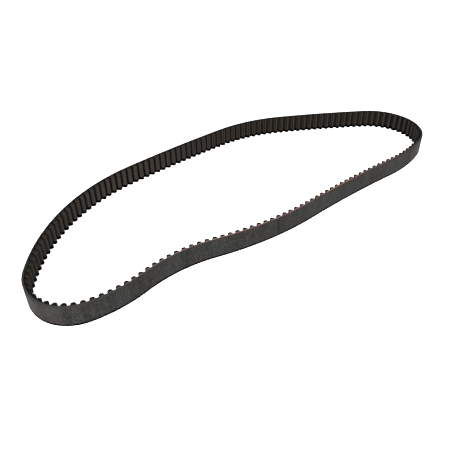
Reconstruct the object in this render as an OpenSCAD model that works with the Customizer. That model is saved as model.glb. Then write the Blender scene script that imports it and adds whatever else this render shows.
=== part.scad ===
// Endless moulded timing belt with rounded teeth, lying free on one cut edge.
// Frame: +Z up across the belt's width, origin on the resting surface under the
// middle of the loop, +X along the loop's long side. The teeth face the inside.

/* [Belt] */
// Number of teeth round the belt
belt_teeth = 151; // [110:1:190]
// Distance from tooth to tooth along the pitch line
tooth_pitch = 8; // [7:0.1:12]
// Width of the belt from cut edge to cut edge
belt_width = 22; // [10:0.5:40]

/* [Tooth] */
// Height of a tooth above the land beside it
tooth_height = 3.3; // [2.8:0.1:3.4]
// Radius of the rounded tooth tip; the root fillet takes the rest of the height
tooth_tip_r = 2.5; // [2:0.1:2.6]

/* [Layers] */
// Rubber from the pitch line to the smooth back
back_cover = 1.5; // [0.8:0.1:3]
// Diameter of a tensile cord
cord_d = 0.9; // [0.5:0.05:1.2]
// Spacing of the cord windings, rounded so that they fill the width
cord_spacing = 1.4; // [1.3:0.05:2.5]
// Distance from a cut edge to the centre of the winding that the cut opens
cord_edge = 0.25; // [0:0.05:0.4]
// Rubber between the cords and the teeth or the facing fabric
cord_cover = 0.06; // [0.04:0.02:0.2]
// Thickness of the woven facing fabric
fabric_t = 0.24; // [0.1:0.02:0.6]
// Film of adhesive that bonds one layer to the next
bond_film = 0.01; // [0.01:0.01:0.03]

/* [Lie of the loop] */
// Direction of the loop's first arc, from +X
start_heading = -74; // [-180:1:180]
// Place of the first tooth past the start of the loop, in tooth pitches
first_tooth = 0.2; // [0:0.05:0.95]

/* [Smoothness] */
// Flats round a tooth tip
tip_steps = 8; // [6:2:16]
// Flats round a root fillet
root_steps = 2; // [2:1:5]
// Flats under a tooth where it meets the backing
base_steps = 4; // [4:1:8]

/* [Hidden] */

pitch_length = belt_teeth * tooth_pitch;
root_r = tooth_height - tooth_tip_r;
// Depths below the pitch line, towards the teeth
backing_face = cord_d / 2 + cord_cover;
fabric_face = backing_face + bond_film;
land_depth = fabric_face + fabric_t;

// The loop as tangent arcs, anticlockwise: [share of the pitch length in per cent, turn in degrees].
// The turns add up to a full one. The arcs in fitted_arcs stretch or shrink so that the loop
// closes exactly: their three shares are the solution of one linear system.
lie = [
    [3.75, 64], [4.5, 22], [6.5, -28], [10, 19], [11, -6], [5.75, 21],
    [10, 128], [10, 6], [7.25, 28], [11.5, 5], [16.25, 52], [3.5, 49]
];
fitted_arcs = [3, 8, 10];
arcs = [for (i = [0 : len(lie) - 1]) i];

function sum(list, i = 0) = i == len(list) ? 0 * list[0] : list[i] + sum(list, i + 1);
function running_sum(list, start) =
    [for (i = 0, total = start; i < len(list); total = total + list[i], i = i + 1) total];

turns = [for (arc = lie) arc[1]];
headings = running_sum(turns, start_heading);

// Displacement along each arc for each unit of its length
unit_chords = [for (i = arcs)
    let (half = turns[i] / 2, bearing = headings[i] + half)
    sin(half) / (half * PI / 180) * [cos(bearing), sin(bearing)]];

// Length and displacement as one vector [length, x, y], for the closing system
function closing(i) = [1, unit_chords[i][0], unit_chords[i][1]];
kept_arcs = [for (i = arcs) if (len(search(i, fitted_arcs)) == 0) i];
kept_sum = sum([for (i = kept_arcs) lie[i][0] / 100 * closing(i)]);
missing = [1, 0, 0] - kept_sum;
column_a = closing(fitted_arcs[0]);
column_b = closing(fitted_arcs[1]);
column_c = closing(fitted_arcs[2]);
determinant = cross(column_b, column_c) * column_a;
fitted_shares = [
    cross(column_b, column_c) * missing / determinant,
    cross(column_c, column_a) * missing / determinant,
    cross(column_a, column_b) * missing / determinant
];

function share(i) = let (hit = search(i, fitted_arcs))
    len(hit) == 0 ? lie[i][0] / 100 : fitted_shares[hit[0]];
lengths = [for (i = arcs) share(i) * pitch_length];
arc_starts = running_sum(lengths, 0);
// Signed radius of the pitch line: positive where the loop bends towards its teeth
radii = [for (i = arcs) lengths[i] / (turns[i] * PI / 180)];
corners = running_sum([for (i = arcs) lengths[i] * unit_chords[i]], [0, 0]);
centres = [for (i = arcs) corners[i] + radii[i] * [-sin(headings[i]), cos(headings[i])]];

function arc_at(s, i = 0) = i == len(lie) - 1 || s < arc_starts[i + 1] ? i : arc_at(s, i + 1);
function wrap(s) = s - pitch_length * floor(s / pitch_length);
function heading_at(s) = let (t = wrap(s), i = arc_at(t))
    headings[i] + turns[i] * (t - arc_starts[i]) / lengths[i];
// Point at distance s along the pitch line and a distance outside it
function beside(s, outside) = let (i = arc_at(wrap(s)), a = heading_at(s))
    centres[i] + (radii[i] + outside) * [sin(a), -cos(a)];

// The middle of the back's own box, which becomes the origin
back_outline = [for (k = [0 : belt_teeth * 8 - 1]) beside(k * tooth_pitch / 8, back_cover)];
function middle(axis) = let (v = [for (p = back_outline) p[axis]]) (min(v) + max(v)) / 2;
loop_middle = [middle(0), middle(1)];

// One tooth from root to root, [along the belt, height above the land], drawn a distance
// inside the fabric's outer face and cut off level with a base above the land's depth
function tooth_outline(inside, base) =
    let (
        start = acos((root_r + base) / (root_r + inside)),
        foot = [for (k = [0 : root_steps - 1])
            let (a = start + (90 - start) * k / root_steps)
            [(root_r + inside) * sin(a) - tooth_height, root_r - (root_r + inside) * cos(a)]],
        tip = [for (k = [0 : tip_steps])
            let (a = 180 * k / tip_steps)
            [-(tooth_tip_r - inside) * cos(a), root_r + (tooth_tip_r - inside) * sin(a)]]
    )
    concat(foot, tip, [for (k = [root_steps - 1 : -1 : 0]) [-foot[k][0], foot[k][1]]]);

// A tooth keeps its shape while its root follows the bend of the belt
function tooth_station(k) = (k + first_tooth) * tooth_pitch;
function on_tooth(k, p) =
    let (s = tooth_station(k), a = heading_at(s))
    p[1] <= 0
        ? beside(s + p[0], -land_depth - p[1])
        : beside(s, -land_depth) + p[0] * [cos(a), sin(a)] + p[1] * [-sin(a), cos(a)];

teeth = [for (k = [0 : belt_teeth - 1]) k];
function facing(inside) =
    [for (k = teeth, p = tooth_outline(inside, inside)) on_tooth(k, p)];
function rubber_tooth(k) =
    let (
        outline = tooth_outline(fabric_t + bond_film, fabric_t),
        half = outline[0][0],
        base = [for (j = [1 : base_steps - 1]) [half * (2 * j / base_steps - 1), -fabric_t]]
    )
    [for (p = concat(outline, base)) on_tooth(k, p)];

// Cord windings fill the width in pairs, one S-laid and one Z-laid
windings = 2 * round((belt_width - 2 * cord_edge) / cord_spacing / 2);
winding_step = (belt_width - 2 * cord_edge) / (windings - 1);
function winding_height(k) = cord_edge + k * winding_step;

// A translation in three steps of whole, thousandth and finer parts. An exported number keeps six
// digits, so a long one-step translation would leave the ends of neighbouring arcs apart.
function to_step(v, step) = [for (x = v) round(x / step) * step];
module place(v) {
    whole = to_step(v, 1);
    rest = v - whole;
    translate(whole)
        translate(to_step(rest, 0.001))
            translate(rest - to_step(rest, 0.001))
                children();
}

// Carries a section drawn as [distance outside the pitch line, height] round the loop
module round_the_loop() {
    for (i = arcs)
        place(centres[i] - loop_middle)
            rotate_extrude(angle = abs(turns[i]),
                           start = headings[i] + min(turns[i], 0) - sign(turns[i]) * 90, $fn = 256)
                place([abs(radii[i]), 0])
                    mirror([radii[i] < 0 ? 1 : 0, 0])
                        children();
}

module cord_section(first, d) {
    intersection() {
        translate([-cord_d, 0])
            square([2 * cord_d, belt_width]);
        for (k = [first : 2 : windings - 1])
            translate([0, winding_height(k)])
                circle(d = d, $fn = 24);
    }
}

module backing() {
    color("#4b4b49")
        round_the_loop()
            difference() {
                translate([-backing_face, 0])
                    square([backing_face + back_cover, belt_width]);
                cord_section(0, cord_d + 2 * bond_film);
                cord_section(1, cord_d + 2 * bond_film);
            }
}

module tensile_cord(first) {
    color("#b98a74")
        round_the_loop()
            cord_section(first, cord_d);
}

module tooth_rubber() {
    size = len(rubber_tooth(0));
    color("#6a5f5a")
        translate(-loop_middle)
            linear_extrude(belt_width)
                polygon(
                    [for (k = teeth) each rubber_tooth(k)],
                    [for (k = teeth) [for (j = [0 : size - 1]) k * size + j]]
                );
}

module facing_fabric() {
    outer = facing(fabric_t);
    inner = facing(0);
    color("#2a2523")
        translate(-loop_middle)
            linear_extrude(belt_width)
                polygon(
                    concat(outer, inner),
                    [[for (j = [0 : len(outer) - 1]) j],
                     [for (j = [0 : len(inner) - 1]) len(outer) + j]]
                );
}

backing();
tensile_cord(0);  // tensile_cord_s
tensile_cord(1);  // tensile_cord_z
tooth_rubber();
facing_fabric();
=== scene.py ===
"""Timing belt: an endless moulded belt with rounded teeth, lying free on its cut edge.

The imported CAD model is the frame. Each of its five layers is replaced here by a finer mesh
of the same layer, built on the same pitch line, with its own procedural material.
"""
import math

import bmesh
import bpy
import numpy as np
from mathutils import Matrix, Vector


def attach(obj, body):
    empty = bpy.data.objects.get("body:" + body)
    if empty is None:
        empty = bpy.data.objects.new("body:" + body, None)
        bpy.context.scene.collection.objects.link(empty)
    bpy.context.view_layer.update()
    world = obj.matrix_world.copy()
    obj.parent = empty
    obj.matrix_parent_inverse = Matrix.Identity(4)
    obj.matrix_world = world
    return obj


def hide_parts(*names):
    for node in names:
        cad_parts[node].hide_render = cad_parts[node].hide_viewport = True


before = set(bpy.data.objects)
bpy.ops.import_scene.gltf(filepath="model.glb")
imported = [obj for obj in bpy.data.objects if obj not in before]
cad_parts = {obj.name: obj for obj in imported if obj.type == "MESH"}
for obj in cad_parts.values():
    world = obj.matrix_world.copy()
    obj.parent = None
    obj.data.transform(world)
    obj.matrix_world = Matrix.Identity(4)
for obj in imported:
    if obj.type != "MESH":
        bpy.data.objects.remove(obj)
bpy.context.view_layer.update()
MM = 0.001

# ---------------------------------------------------------------- sizes, in millimetres
TEETH = 151
PITCH = 8.0
WIDTH = 22.0
TOOTH_HEIGHT = 3.3
TIP_R = 2.5
ROOT_R = TOOTH_HEIGHT - TIP_R
BACK_COVER = 1.5
CORD_D = 0.9
CORD_COVER = 0.06
FABRIC_T = 0.24
FILM = 0.01
FIRST_TOOTH = 0.2
BACKING_FACE = CORD_D / 2 + CORD_COVER
LAND_DEPTH = BACKING_FACE + FILM + FABRIC_T
LENGTH = TEETH * PITCH

# How finely the layers are drawn
STATIONS_PER_TOOTH = 8
ROOT_STEPS = 5
TIP_STEPS = 24
CORD_SIDES = 10
BACK_ROWS = 12
CLOTH_ROWS = 3
CLOTH_HEM = 0.25
BACK_CHAMFER = 0.14

# The facing's threads
THREADS_PER_TOOTH = 24
THREAD_PITCH = 0.46

# The cords' rise on each turn, where along the belt the first one crosses the top edge, and
# how far its cut stands above that edge
WINDING_STEP = 2.87
TOP_CUT_MIDDLE = 285.0
CUT_PROUD = 0.012

# Waves of the ground back, in millimetres and in waves round the whole belt
TOOTH_WAVE = 0.018
GRIND_WAVE = 0.012
GRIND_HARMONICS = (5, 9, 14, 23, 37, 58)

# Stretches along the pitch line in millimetres: start, end and the length of the fade
BARE_STRETCH = (70, 462, 90)
CLEAN_STRETCH = (-50, 540, 60)
# The stretch where the facing carries two painted highlight lines on each tooth instead of the
# painted gap shade
PAINTED_HIGHLIGHT_STRETCH = (540, 900, 160)

# The camera: place in metres; heading clockwise of +Y, tilt down and roll in degrees
CAMERA_PLACE = (-0.3275, -0.3843, 0.3230)
CAMERA_HEADING, CAMERA_TILT, CAMERA_ROLL = 38.66, 36.72, -0.66
CAMERA_LENS, CAMERA_SENSOR = 41.4, 36.0

# The soft lights: place and size in metres, power in watts
SOFTBOXES = {
    "key_softbox": ((-2.0, -1.3, 1.4), 1.2, 240.0),
    "fill_softbox": ((0.3, -2.2, 1.2), 1.6, 60.0),
}
WORLD_STRENGTH = 0.4
FLOOR_HALF = 6.0

# The loop as tangent arcs: [share of the pitch length in per cent, turn in degrees]
START_HEADING = -74
LIE = [
    [3.75, 64], [4.5, 22], [6.5, -28], [10, 19], [11, -6], [5.75, 21],
    [10, 128], [10, 6], [7.25, 28], [11.5, 5], [16.25, 52], [3.5, 49],
]
FITTED_ARCS = [3, 8, 10]


# ---------------------------------------------------------------- the pitch line
def even_stations():
    """Distances along the pitch line, a set number to each tooth."""
    return np.arange(TEETH * STATIONS_PER_TOOTH) * PITCH / STATIONS_PER_TOOTH


class Loop:
    """The pitch line as tangent arcs, closed by stretching the fitted arcs."""

    def __init__(self):
        self.turns = np.radians([turn for _, turn in LIE])
        start = math.radians(START_HEADING)
        self.headings = start + np.r_[0, np.cumsum(self.turns)[:-1]]
        half = self.turns / 2
        bearing = self.headings + half
        chords = (np.sin(half) / half)[:, None] * np.c_[np.cos(bearing), np.sin(bearing)]
        shares = np.array([share for share, _ in LIE]) / 100
        columns = np.c_[np.ones(len(LIE)), chords]
        kept = [i for i in range(len(LIE)) if i not in FITTED_ARCS]
        missing = np.array([1, 0, 0]) - shares[kept] @ columns[kept]
        shares[FITTED_ARCS] = np.linalg.solve(columns[FITTED_ARCS].T, missing)
        self.lengths = shares * LENGTH
        self.starts = np.r_[0, np.cumsum(self.lengths)]
        self.radii = self.lengths / self.turns
        corners = np.r_[[[0, 0]], np.cumsum(self.lengths[:, None] * chords, axis=0)][:-1]
        inward = np.c_[-np.sin(self.headings), np.cos(self.headings)]
        self.centres = corners + self.radii[:, None] * inward
        self.middle = np.zeros(2)
        back = self.beside(even_stations(), BACK_COVER)
        self.middle = (back.min(axis=0) + back.max(axis=0)) / 2

    def heading(self, s):
        """The belt's heading at distances s, and the arc that each one is on."""
        s = np.mod(s, LENGTH)
        i = np.clip(np.searchsorted(self.starts, s, side="right") - 1, 0, len(LIE) - 1)
        return self.headings[i] + self.turns[i] * (s - self.starts[i]) / self.lengths[i], i

    def beside(self, s, outside):
        """Points at distances s along the pitch line and a distance outside it."""
        s = np.asarray(s, float)
        a, i = self.heading(s)
        reach = (self.radii[i] + outside)[:, None]
        return self.centres[i] + reach * np.c_[np.sin(a), -np.cos(a)] - self.middle


loop = Loop()


# ---------------------------------------------------------------- mesh helpers
def make_object(name, verts_mm, faces, node):
    """A smooth mesh from points in millimetres, which stands for a CAD node."""
    mesh = bpy.data.meshes.new(name)
    mesh.from_pydata((np.asarray(verts_mm) * MM).tolist(), [], [tuple(f) for f in faces])
    mesh.update()
    obj = bpy.data.objects.new(name, mesh)
    bpy.context.scene.collection.objects.link(obj)
    mesh.polygons.foreach_set("use_smooth", [True] * len(mesh.polygons))
    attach(obj, "root")
    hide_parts(node)
    return obj


def set_attribute(obj, name, values):
    layer = obj.data.attributes.new(name, "FLOAT", "POINT")
    layer.data.foreach_set("value", np.asarray(values, np.float32))


def set_vector(obj, name, values):
    layer = obj.data.attributes.new(name, "FLOAT_VECTOR", "POINT")
    layer.data.foreach_set("vector", np.asarray(values, np.float32).ravel())


def torus_faces(stations, section):
    """Quads of a closed sweep: stations round the loop, section points round the section."""
    faces = []
    for i in range(stations):
        j = (i + 1) % stations
        for k in range(section):
            m = (k + 1) % section
            faces.append([i * section + k, i * section + m, j * section + m, j * section + k])
    return faces


def stretch(s, start, end, soft):
    """1 on the stretch of the belt from start to end, fading over a distance at both."""
    along = np.mod(np.asarray(s, float) - start + soft, LENGTH) - soft
    return np.clip(along / soft + 0.5, 0, 1) * np.clip((end - start - along) / soft + 0.5, 0, 1)


def mark_cut(obj, s):
    """Mark where the knife left the tan of the cord and the tooth roots showing, and where
    it left the rubber clean; elsewhere it glazed the cut black."""
    set_attribute(obj, "bare", stretch(s, *BARE_STRETCH))
    set_attribute(obj, "clean", stretch(s, *CLEAN_STRETCH))


def sharpen(obj, degrees):
    """Smooth shading with hard edges where faces meet at more than an angle."""
    bpy.context.view_layer.objects.active = obj
    obj.select_set(True)
    bpy.ops.object.shade_smooth_by_angle(angle=math.radians(degrees))
    obj.select_set(False)


def fix_normals(obj):
    """Turn every face outwards."""
    work = bmesh.new()
    work.from_mesh(obj.data)
    bmesh.ops.recalc_face_normals(work, faces=work.faces)
    work.to_mesh(obj.data)
    work.free()


# ---------------------------------------------------------------- backing
def ripple(s, z):
    """Small waves of the ground back: the teeth telegraph through, and the grind wanders."""
    rng = np.random.default_rng(7)
    wave = -TOOTH_WAVE * np.cos(2 * np.pi * (s / PITCH - FIRST_TOOTH))
    for harmonic in GRIND_HARMONICS:
        phase, tilt = rng.uniform(0, 2 * np.pi, 2)
        lean = 0.35 * np.sin(tilt) * z / WIDTH
        wave = wave + GRIND_WAVE * np.sin(2 * np.pi * harmonic * s / LENGTH + phase + lean)
    return wave


def build_backing():
    """The rubber back: its section swept round the loop, with small chamfers behind."""
    outside, inside, top = BACK_COVER, -BACKING_FACE, WIDTH
    shoulder, step = outside - BACK_CHAMFER, BACK_CHAMFER * 0.3
    back_heights = np.linspace(BACK_CHAMFER, top - BACK_CHAMFER, BACK_ROWS)
    section = [(outside, z) for z in back_heights]
    section += [(outside - step, top - step), (shoulder, top)]
    section += [(d, top) for d in np.linspace(shoulder, inside, 5)[1:]]
    section += [(inside, top / 2)]
    section += [(d, 0.0) for d in np.linspace(inside, shoulder, 5)[:-1]]
    section += [(shoulder, 0.0), (outside - step, step)]
    section = np.array(section)
    stations = even_stations()
    count = len(section)
    s = np.repeat(stations, count)
    d = np.tile(section[:, 0], len(stations))
    z = np.tile(section[:, 1], len(stations))
    on_back = np.tile(np.arange(count) < BACK_ROWS, len(stations))
    d = np.where(on_back, d + ripple(s, z), d)
    obj = make_object("backing_rubber", np.c_[loop.beside(s, d), z],
                      torus_faces(len(stations), count), "backing")
    obj.data.materials.append(back_material())
    obj.data.materials.append(cut_backing_material())
    for polygon in obj.data.polygons:
        on_cut = BACK_ROWS <= polygon.index % count < count - 1
        polygon.material_index = 1 if on_cut else 0
    set_attribute(obj, "clean", stretch(s, *CLEAN_STRETCH))
    sharpen(obj, 40)


# ---------------------------------------------------------------- teeth
def tooth_outline(inside, base):
    """One tooth as [along the belt, height above the land], drawn a distance inside the
    fabric's outer face and cut off level at a base depth below the land."""
    root, tip = ROOT_R + inside, TIP_R - inside
    start = math.acos((ROOT_R + base) / root)
    a = start + (math.pi / 2 - start) * np.arange(ROOT_STEPS) / ROOT_STEPS
    foot = np.c_[root * np.sin(a) - TOOTH_HEIGHT, ROOT_R - root * np.cos(a)]
    a = math.pi * np.arange(TIP_STEPS + 1) / TIP_STEPS
    crown = np.c_[-tip * np.cos(a), ROOT_R + tip * np.sin(a)]
    return np.r_[foot, crown, foot[::-1] * [-1, 1]]


def on_tooth(k, outline):
    """Places outline points on tooth k: the root follows the belt and the tooth stays rigid."""
    s = (k + FIRST_TOOTH) * PITCH
    a = loop.heading(np.array([s]))[0][0]
    seat = loop.beside([s], -LAND_DEPTH)[0]
    rigid = seat + outline[:, :1] * [math.cos(a), math.sin(a)]
    rigid = rigid + outline[:, 1:] * [-math.sin(a), math.cos(a)]
    bent = np.array([loop.beside([s + x], -LAND_DEPTH - y)[0] for x, y in outline])
    blend = np.clip(outline[:, 1:] / ROOT_R, 0, 1)
    blend = blend * blend * (3 - 2 * blend)
    return bent * (1 - blend) + rigid * blend


def build_tooth_rubber():
    """The rubber of every tooth, each a closed body with flat cut ends."""
    outline = tooth_outline(FABRIC_T + FILM, FABRIC_T)
    half = outline[0, 0]
    base = np.array([[x, -FABRIC_T] for x in np.linspace(-half, half, 7)[1:-1]])
    profile = np.r_[outline, base]
    count, rim = len(profile), len(outline)
    verts, faces, height = [], [], []
    station = np.repeat((np.arange(TEETH) + FIRST_TOOTH) * PITCH, 2 * count)
    for k in range(TEETH):
        first = len(verts)
        xy = on_tooth(k, profile)
        for z in (0.0, WIDTH):
            verts += [(x, y, z) for x, y in xy]
            height += profile[:, 1].tolist()
        low, high = first, first + count
        for j in range(count):
            m = (j + 1) % count
            faces.append([low + j, low + m, high + m, high + j])
        for j in range((rim - 1) // 2):
            m = rim - 1 - j
            if m - 1 > j + 1:
                faces.append([low + j, low + j + 1, low + m - 1, low + m])
                faces.append([high + m, high + m - 1, high + j + 1, high + j])
            else:
                faces.append([low + j, low + j + 1, low + m])
                faces.append([high + m, high + j + 1, high + j])
        foot = [0, rim - 1] + list(range(rim, count))
        faces.append([low + j for j in foot])
        faces.append([high + j for j in reversed(foot)])
    obj = make_object("tooth_cores", verts, faces, "tooth_rubber")
    set_attribute(obj, "tooth_height", np.array(height) / TOOTH_HEIGHT)
    mark_cut(obj, station)
    obj.data.materials.append(cut_tooth_material())
    fix_normals(obj)
    sharpen(obj, 35)


# ---------------------------------------------------------------- facing fabric
def build_fabric():
    """The woven facing: one closed sheet over the teeth and the lands between them."""
    outer = tooth_outline(0, 0)
    inner = tooth_outline(FABRIC_T, FABRIC_T)
    per_tooth = len(outer)
    steps = np.linalg.norm(np.diff(outer, axis=0), axis=1)
    land = PITCH - 2 * TOOTH_HEIGHT
    along = np.r_[0, np.cumsum(steps)] / (steps.sum() + land)
    heights = np.r_[0.0, np.linspace(CLOTH_HEM, WIDTH - CLOTH_HEM, CLOTH_ROWS), WIDTH]
    rings = [("outer", z) for z in heights] + [("inner", z) for z in heights[::-1]]
    face = {"outer": np.vstack([on_tooth(k, outer) for k in range(TEETH)]),
            "inner": np.vstack([on_tooth(k, inner) for k in range(TEETH)])}
    stations, section = TEETH * per_tooth, len(rings)
    verts = np.zeros((stations, section, 3))
    weave = np.zeros((stations, section, 3))
    u = (np.arange(TEETH)[:, None] + along[None, :]).ravel() * THREADS_PER_TOOTH
    for j, (side, z) in enumerate(rings):
        verts[:, j, :2] = face[side]
        verts[:, j, 2] = z
        weave[:, j, 0] = u
        weave[:, j, 1] = z / THREAD_PITCH
    obj = make_object("facing_cloth", verts.reshape(-1, 3), torus_faces(stations, section),
                      "facing_fabric")
    set_vector(obj, "weave", weave.reshape(-1, 3))
    station = (u / THREADS_PER_TOOTH + FIRST_TOOTH) * PITCH
    # Marks the stretch where the facing's colour takes the two painted highlight lines
    set_attribute(obj, "painted_highlight_lines", np.repeat(stretch(station, *PAINTED_HIGHLIGHT_STRETCH), section))
    obj.data.materials.append(fabric_material())
    fix_normals(obj)
    sharpen(obj, 50)


# ---------------------------------------------------------------- cords
def build_cord(name, node, shift):
    """One tensile cord as a helix, rising a winding step on each turn and cut flat where
    it runs out of the edges. shift is its height above the first cord's helix."""
    radius, sides = CORD_D / 2, CORD_SIDES
    step = PITCH / 4
    turns = int(WIDTH / WINDING_STEP) + 2
    s = np.arange(-turns * LENGTH, LENGTH + step, step)
    centre = WIDTH + WINDING_STEP * (s - TOP_CUT_MIDDLE) / LENGTH + shift
    keep = (centre > -radius) & (centre < WIDTH + radius)
    s, centre = s[keep], centre[keep]
    angle = np.arange(sides) * 2 * np.pi / sides
    d = np.tile(radius * np.cos(angle), len(s))
    z = np.repeat(centre, sides) + np.tile(radius * np.sin(angle), len(s))
    z = np.clip(z, 0.0, WIDTH + CUT_PROUD)
    along = np.repeat(s, sides)
    last = (len(s) - 1) * sides
    faces = torus_faces(len(s), sides)[:last]
    faces.append(list(range(sides))[::-1])
    faces.append([last + k for k in range(sides)])
    obj = make_object(name, np.c_[loop.beside(along, d), z], faces, node)
    mark_cut(obj, along)
    obj.data.materials.append(cord_material(name))
    fix_normals(obj)


# ---------------------------------------------------------------- material helpers
def rgba(colour):
    """A colour socket as it is, or a colour of three numbers made opaque."""
    return colour if isinstance(colour, bpy.types.NodeSocket) else (*colour, 1)


class Nodes:
    """A short way to write a node tree."""

    def __init__(self, name):
        self.material = bpy.data.materials.new(name)
        self.material.use_nodes = True
        self.tree = self.material.node_tree
        self.tree.nodes.clear()
        self.output = self.tree.nodes.new("ShaderNodeOutputMaterial")
        self.shader = self.tree.nodes.new("ShaderNodeBsdfPrincipled")
        self.tree.links.new(self.shader.outputs[0], self.output.inputs["Surface"])

    def node(self, kind, **settings):
        """A new node of a kind, with its settings."""
        made = self.tree.nodes.new(kind)
        for key, value in settings.items():
            setattr(made, key, value)
        return made

    def put(self, value, socket):
        """Link an output to a socket, or set the socket to a constant."""
        if isinstance(value, bpy.types.NodeSocket):
            self.tree.links.new(value, socket)
        else:
            socket.default_value = value

    def place(self, scale=(1, 1, 1)):
        """Object coordinates in metres, scaled."""
        coords = self.node("ShaderNodeTexCoord").outputs["Object"]
        mapping = self.node("ShaderNodeMapping")
        self.put(coords, mapping.inputs["Vector"])
        mapping.inputs["Scale"].default_value = scale
        return mapping.outputs["Vector"]

    def height(self):
        """Height above the floor in metres."""
        split = self.node("ShaderNodeSeparateXYZ")
        self.put(self.place(), split.inputs[0])
        return split.outputs["Z"]

    def noise(self, scale, detail, rough, vector=None):
        made = self.node("ShaderNodeTexNoise")
        self.put(vector or self.place(), made.inputs["Vector"])
        made.inputs["Scale"].default_value = scale
        made.inputs["Detail"].default_value = detail
        made.inputs["Roughness"].default_value = rough
        return made.outputs["Fac"]

    def attribute(self, name, output="Fac"):
        return self.node("ShaderNodeAttribute", attribute_name=name).outputs[output]

    def math(self, operation, a, b=None):
        made = self.node("ShaderNodeMath", operation=operation)
        self.put(a, made.inputs[0])
        if b is not None:
            self.put(b, made.inputs[1])
        return made.outputs[0]

    def ramp(self, value, stops):
        """A colour for each place on the value's way from 0 to 1."""
        made = self.node("ShaderNodeValToRGB")
        elements = made.color_ramp.elements
        while len(elements) < len(stops):
            elements.new(0.5)
        for element, (position, colour) in zip(elements, stops):
            element.position = position
            element.color = rgba(colour)
        self.put(value, made.inputs[0])
        return made.outputs["Color"]

    def grey_ramp(self, value, *stops):
        return self.ramp(value, [(position, (level,) * 3) for position, level in stops])

    def grey(self, value, low, high, out_low=0.0, out_high=1.0):
        """The value's span from low to high, laid onto another span."""
        made = self.node("ShaderNodeMapRange")
        self.put(value, made.inputs["Value"])
        for key, number in zip(("From Min", "From Max", "To Min", "To Max"),
                               (low, high, out_low, out_high)):
            made.inputs[key].default_value = number
        return made.outputs["Result"]

    def mix(self, factor, a, b):
        made = self.node("ShaderNodeMix", data_type="RGBA")
        self.put(factor, made.inputs[0])
        self.put(rgba(a), made.inputs[6])
        self.put(rgba(b), made.inputs[7])
        return made.outputs[2]

    def bump(self, height, distance, strength=1.0, under=None):
        made = self.node("ShaderNodeBump")
        made.inputs["Strength"].default_value = strength
        made.inputs["Distance"].default_value = distance
        self.put(height, made.inputs["Height"])
        if under is not None:
            self.put(under, made.inputs["Normal"])
        return made.outputs["Normal"]

    def finish(self, colour, roughness, normal=None, **sockets):
        self.put(colour, self.shader.inputs["Base Color"])
        self.put(roughness, self.shader.inputs["Roughness"])
        if normal is not None:
            self.put(normal, self.shader.inputs["Normal"])
        for key, value in sockets.items():
            self.put(value, self.shader.inputs[key.replace("_", " ")])
        return self.material


# ---------------------------------------------------------------- materials
def back_material():
    """Ground rubber: soft bands across the width, mottle and fine grain, faint grinding
    lines along the belt, and a black rim of painted shade at the lower edge, where it meets the
    floor."""
    n = Nodes("ground_back_rubber")
    bands = n.noise(90, 3, 0.5, n.place((1, 1, 0.05)))
    patches = n.noise(45, 3, 0.5)
    grain = n.noise(2600, 3, 0.7)
    scratches = n.noise(60, 4, 0.6, n.place((1, 1, 60)))
    streaks = n.noise(420, 2, 0.5, n.place((1, 1, 0.06)))
    mottle = n.noise(800, 2, 0.6, n.place((1, 1, 0.7)))
    tone = n.ramp(bands, [(0.38, (0.0016, 0.0015, 0.0014)), (0.62, (0.0098, 0.0102, 0.0102))])
    tone = n.mix(n.grey(streaks, 0.42, 0.66, 0.0, 0.6), tone, (0.0125, 0.0124, 0.0120))
    tone = n.mix(n.grey(patches, 0.42, 0.62, 0.0, 0.6), tone, (0.0098, 0.0068, 0.0056))
    tone = n.mix(n.grey(mottle, 0.50, 0.72, 0.0, 0.9), tone, (0.0190, 0.0188, 0.0181))
    tone = n.mix(n.grey(mottle, 0.50, 0.28, 0.0, 0.9), tone, (0.0020, 0.0019, 0.0017))
    tone = n.mix(n.grey(grain, 0.45, 0.75, 0.0, 0.4), tone, (0.016, 0.0156, 0.0148))
    tone = n.mix(n.grey(scratches, 0.55, 0.75, 0.0, 0.3), tone, (0.0040, 0.0039, 0.0037))
    # Painted shade: the back goes black over its lowest 1.6 to 3 mm, where it meets the floor,
    # and loses its gloss there
    above_painted_floor_shade = n.grey(n.height(), 0.0016, 0.0030)
    tone = n.mix(above_painted_floor_shade, (0.0003, 0.0003, 0.0003), tone)
    relief = n.bump(scratches, 0.00006, 0.5)
    relief = n.bump(grain, 0.00008, 0.6, relief)
    rough = n.grey(patches, 0.3, 0.7, 0.66, 0.8)
    gloss = n.math("MULTIPLY", 0.06, above_painted_floor_shade)
    return n.finish(tone, rough, relief, Specular_IOR_Level=gloss)


def cut_backing_material():
    """The backing's slit edge, with blade marks: grey where clean, black where glazed."""
    n = Nodes("cut_back_rubber")
    marks = n.noise(900, 3, 0.6)
    grain = n.noise(3000, 2, 0.6)
    tone = n.ramp(marks, [(0.3, (0.0140, 0.0136, 0.0128)), (0.72, (0.0220, 0.0214, 0.0202))])
    tone = n.mix(n.grey(grain, 0.5, 0.8, 0.0, 0.5), tone, (0.026, 0.025, 0.0235))
    tone = n.mix(n.attribute("clean"), n.mix(0.95, tone, (0.0006, 0.0004, 0.0003)), tone)
    relief = n.bump(marks, 0.00008, 0.6)
    return n.finish(tone, 0.68, relief, Specular_IOR_Level=0.1)


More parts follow.
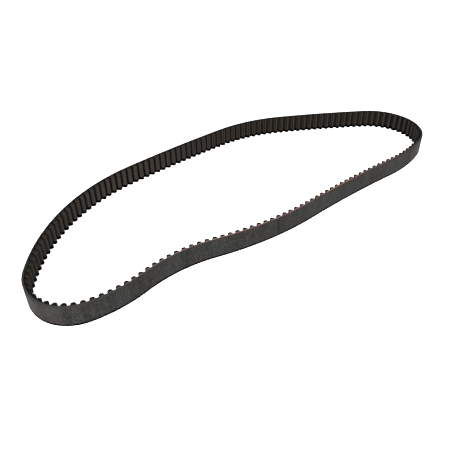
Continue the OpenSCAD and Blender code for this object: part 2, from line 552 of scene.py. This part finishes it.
def cut_tooth_material():
    """Cut tooth rubber: black, fibrous tan at the root where bare, brown where not clean."""
    n = Nodes("cut_tooth_rubber")
    height = n.attribute("tooth_height")
    fibres = n.noise(2200, 3, 0.7)
    patches = n.noise(130, 2, 0.5)
    level = n.math("ADD", height, n.grey(fibres, 0.3, 0.7, -0.07, 0.07))
    black = n.ramp(fibres, [(0.3, (0.0006, 0.0003, 0.0003)), (0.75, (0.0030, 0.0018, 0.0014))])
    root = n.ramp(level, [(0.0, (0.14, 0.092, 0.075)), (0.10, (0.12, 0.079, 0.065)),
                          (0.20, (0.0030, 0.0018, 0.0014)), (1.0, (0.0006, 0.0003, 0.0003))])
    root = n.mix(n.grey(patches, 0.42, 0.68, 0.0, 0.5), root, black)
    brown = n.ramp(fibres, [(0.3, (0.0064, 0.0050, 0.0040)), (0.75, (0.0120, 0.0098, 0.0080))])
    tone = n.mix(n.attribute("clean"), brown, black)
    tone = n.mix(n.attribute("bare"), tone, root)
    relief = n.bump(fibres, 0.00008, 0.6)
    return n.finish(tone, 0.78, relief, Specular_IOR_Level=0.08)


def fabric_material():
    """Dark nylon twill with its threads as relief, under painted light and shade: lighter
    crests and flanks, black painted shade in the gap behind each tooth or on the highlighted
    stretch two painted highlight lines, a black rim of painted shade at the lower edge, and a
    black upper cut edge."""
    n = Nodes("facing_twill")
    weave = n.node("ShaderNodeSeparateXYZ")
    n.put(n.attribute("weave", "Vector"), weave.inputs[0])
    u, v = weave.outputs["X"], weave.outputs["Y"]
    diagonal = n.math("ADD", n.math("FLOOR", u), n.math("FLOOR", v))
    over = n.math("LESS_THAN", n.math("FLOORED_MODULO", diagonal, 4.0), 2.0)
    warp = n.math("ABSOLUTE", n.math("SINE", n.math("MULTIPLY", u, math.pi)))
    weft = n.math("ABSOLUTE", n.math("SINE", n.math("MULTIPLY", v, math.pi)))
    thread = n.math("ADD", n.math("MULTIPLY", warp, over),
                    n.math("MULTIPLY", weft, n.math("SUBTRACT", 1.0, over)))
    around = n.math("FRACT", n.math("DIVIDE", u, float(THREADS_PER_TOOTH)))
    patches = n.noise(55, 3, 0.55)
    fuzz = n.noise(3500, 2, 0.6)
    # Painted shade: black over the roots and the land between the teeth, where shade falls in
    # the gap, with the crests and flanks painted lighter
    painted_gap_shade = n.grey_ramp(around, (0.0, 0.15), (0.15, 0.15), (0.24, 0.8), (0.60, 0.95),
                          (0.77, 0.95), (0.84, 0.15))
    # Painted highlights: two light lines across each tooth, one for each softbox, with painted
    # shade between them
    painted_highlight_lines = n.grey_ramp(around, (0.32, 0.3), (0.36, 1), (0.45, 1), (0.49, 0.3),
                        (0.60, 0.3), (0.64, 1), (0.76, 1), (0.80, 0.3))
    # Painted shade: the facing goes black over its lowest 3 to 4.2 mm, where the teeth meet the
    # floor
    above_painted_floor_shade = n.grey(n.height(), 0.0030, 0.0042)
    painted_lighting = n.mix(n.attribute("painted_highlight_lines"), painted_gap_shade, painted_highlight_lines)
    painted_lighting = n.math("MULTIPLY", painted_lighting, above_painted_floor_shade)
    below_cut = n.grey(n.height(), WIDTH * MM - 0.00008, WIDTH * MM - 0.00001, 1.0, 0.0)
    painted_lighting = n.math("MULTIPLY", painted_lighting, below_cut)
    tone = n.mix(n.grey(patches, 0.45, 0.75, 0.0, 0.5), (0.0118, 0.0092, 0.0070),
                 (0.0098, 0.0058, 0.0042))
    # Painted shade: the twill is painted darker where its threads meet, in the small hollows
    # between them
    tone = n.mix(n.grey(thread, 0.0, 0.9, 0.5, 0.0), tone, (0.0010, 0.0007, 0.0005))
    tone = n.mix(n.grey(fuzz, 0.55, 0.8, 0.0, 0.25), tone, (0.016, 0.0136, 0.0112))
    # The painted light and shade goes into the colour here: near black where it is dark, the
    # twill's tone where it is lit
    tone = n.mix(painted_lighting, (0.0002, 0.0001, 0.0001), tone)
    relief = n.bump(thread, 0.00006, 0.7)
    relief = n.bump(fuzz, 0.00003, 0.5, relief)
    # The gloss follows the painted light and shade, so the painted shade stays matte
    gloss = n.math("MULTIPLY", 0.12, painted_lighting)
    return n.finish(tone, 0.8, relief, Specular_IOR_Level=gloss)


def cord_material(name):
    """Glass-fibre yarn in its adhesive: tan with fine strands, and smeared with the rubber
    where the cut isn't bare."""
    n = Nodes(name + "_yarn")
    strands = n.noise(2500, 3, 0.6, n.place((1, 1, 6)))
    smears = n.noise(60, 2, 0.5)
    tone = n.ramp(strands, [(0.3, (0.095, 0.046, 0.033)), (0.7, (0.18, 0.102, 0.079))])
    tone = n.mix(n.grey(smears, 0.42, 0.62, 0.0, 0.7), tone, (0.030, 0.018, 0.014))
    smeared = n.mix(n.attribute("clean"), (0.0060, 0.0042, 0.0034), (0.020, 0.0195, 0.0185))
    tone = n.mix(n.attribute("bare"), smeared, tone)
    relief = n.bump(strands, 0.00005, 0.6)
    return n.finish(tone, 0.6, relief, Specular_IOR_Level=0.1)


# ---------------------------------------------------------------- stage, light, camera
def build_stage():
    """A plain pale floor at the height the belt rests on."""
    half = FLOOR_HALF
    corners = [(-half, -half, 0), (half, -half, 0), (half, half, 0), (-half, half, 0)]
    mesh = bpy.data.meshes.new("floor")
    mesh.from_pydata(corners, [], [(0, 1, 2, 3)])
    floor = bpy.data.objects.new("floor", mesh)
    bpy.context.scene.collection.objects.link(floor)
    n = Nodes("pale_floor")
    mesh.materials.append(n.finish((0.9, 0.9, 0.9, 1), 0.9, None, Specular_IOR_Level=0.1,
                                   Emission_Color=(1, 1, 1, 1), Emission_Strength=0.75))


def build_light():
    """A pale world and two soft lights from the camera's side."""
    world = bpy.data.worlds.new("studio")
    bpy.context.scene.world = world
    world.use_nodes = True
    background = world.node_tree.nodes["Background"]
    background.inputs["Color"].default_value = (1, 1, 1, 1)
    background.inputs["Strength"].default_value = WORLD_STRENGTH
    for name, (place, size, power) in SOFTBOXES.items():
        lamp = bpy.data.lights.new(name, "AREA")
        lamp.size = size
        lamp.energy = power
        obj = bpy.data.objects.new(name, lamp)
        obj.location = place
        obj.rotation_euler = Vector(place).to_track_quat("Z", "Y").to_euler()
        bpy.context.scene.collection.objects.link(obj)


def build_camera():
    """The photograph's viewing angle: a look down across the loop from its lower left."""
    place = Vector(CAMERA_PLACE)
    heading, down, roll = map(math.radians, (CAMERA_HEADING, CAMERA_TILT, CAMERA_ROLL))
    right = Vector((math.cos(heading), -math.sin(heading), 0))
    ahead = Vector((math.sin(heading) * math.cos(down), math.cos(heading) * math.cos(down),
                    -math.sin(down)))
    up = right.cross(ahead)
    side = right * math.cos(roll) + up * math.sin(roll)
    head = up * math.cos(roll) - right * math.sin(roll)
    data = bpy.data.cameras.new("camera")
    data.lens, data.sensor_width = CAMERA_LENS, CAMERA_SENSOR
    data.clip_start, data.clip_end = 0.01, 50
    camera = bpy.data.objects.new("camera", data)
    camera.matrix_world = Matrix((
        (side.x, head.x, -ahead.x, place.x),
        (side.y, head.y, -ahead.y, place.y),
        (side.z, head.z, -ahead.z, place.z),
        (0, 0, 0, 1)))
    bpy.context.scene.collection.objects.link(camera)
    bpy.context.scene.camera = camera


build_camera()
build_stage()
build_light()
build_backing()
build_tooth_rubber()
build_fabric()
build_cord("cord_s_winding", "tensile_cord_s", 0.0)
build_cord("cord_z_winding", "tensile_cord_z", -WINDING_STEP / 2)
bpy.context.scene.view_settings.view_transform = "Standard"

bpy.context.view_layer.update()
